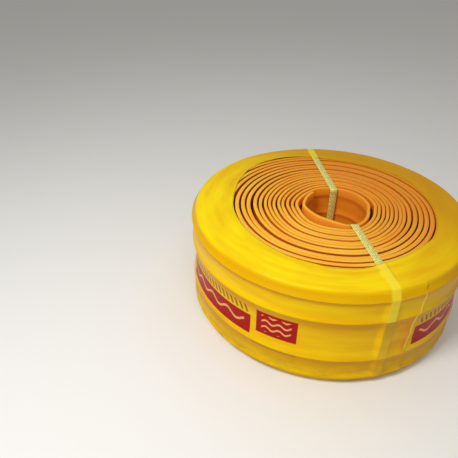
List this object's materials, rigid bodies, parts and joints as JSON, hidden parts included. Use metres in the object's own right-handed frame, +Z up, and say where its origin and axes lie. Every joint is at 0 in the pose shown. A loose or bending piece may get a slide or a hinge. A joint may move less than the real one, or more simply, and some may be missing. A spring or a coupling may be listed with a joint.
{
  "type": "coiled pvc waterstop",
  "caption": "Coil of ribbed PVC waterstop strip lying on its edge, with an open bore, tied by plastic straps and wrapped round its outside in plastic film.",
  "frame": {"origin": "on the floor, under the centre of the coil's outer wall", "axes": "+Z up along the coil's axis, out of its wound end; -Y towards the side that the picture's camera sees"},
  "size_m": [0.5198, 0.5198, 0.2029],
  "materials": {
    "strip": "satin extruded PVC",
    "film": "glossy printed film",
    "strap": "embossed, glossy"
  },
  "bodies": {
    "root": {"waterstop_roll": "strip", "film_wrap": "film", "strap_front": "strap", "strap_back": "strap"}
  },
  "joints": []
}
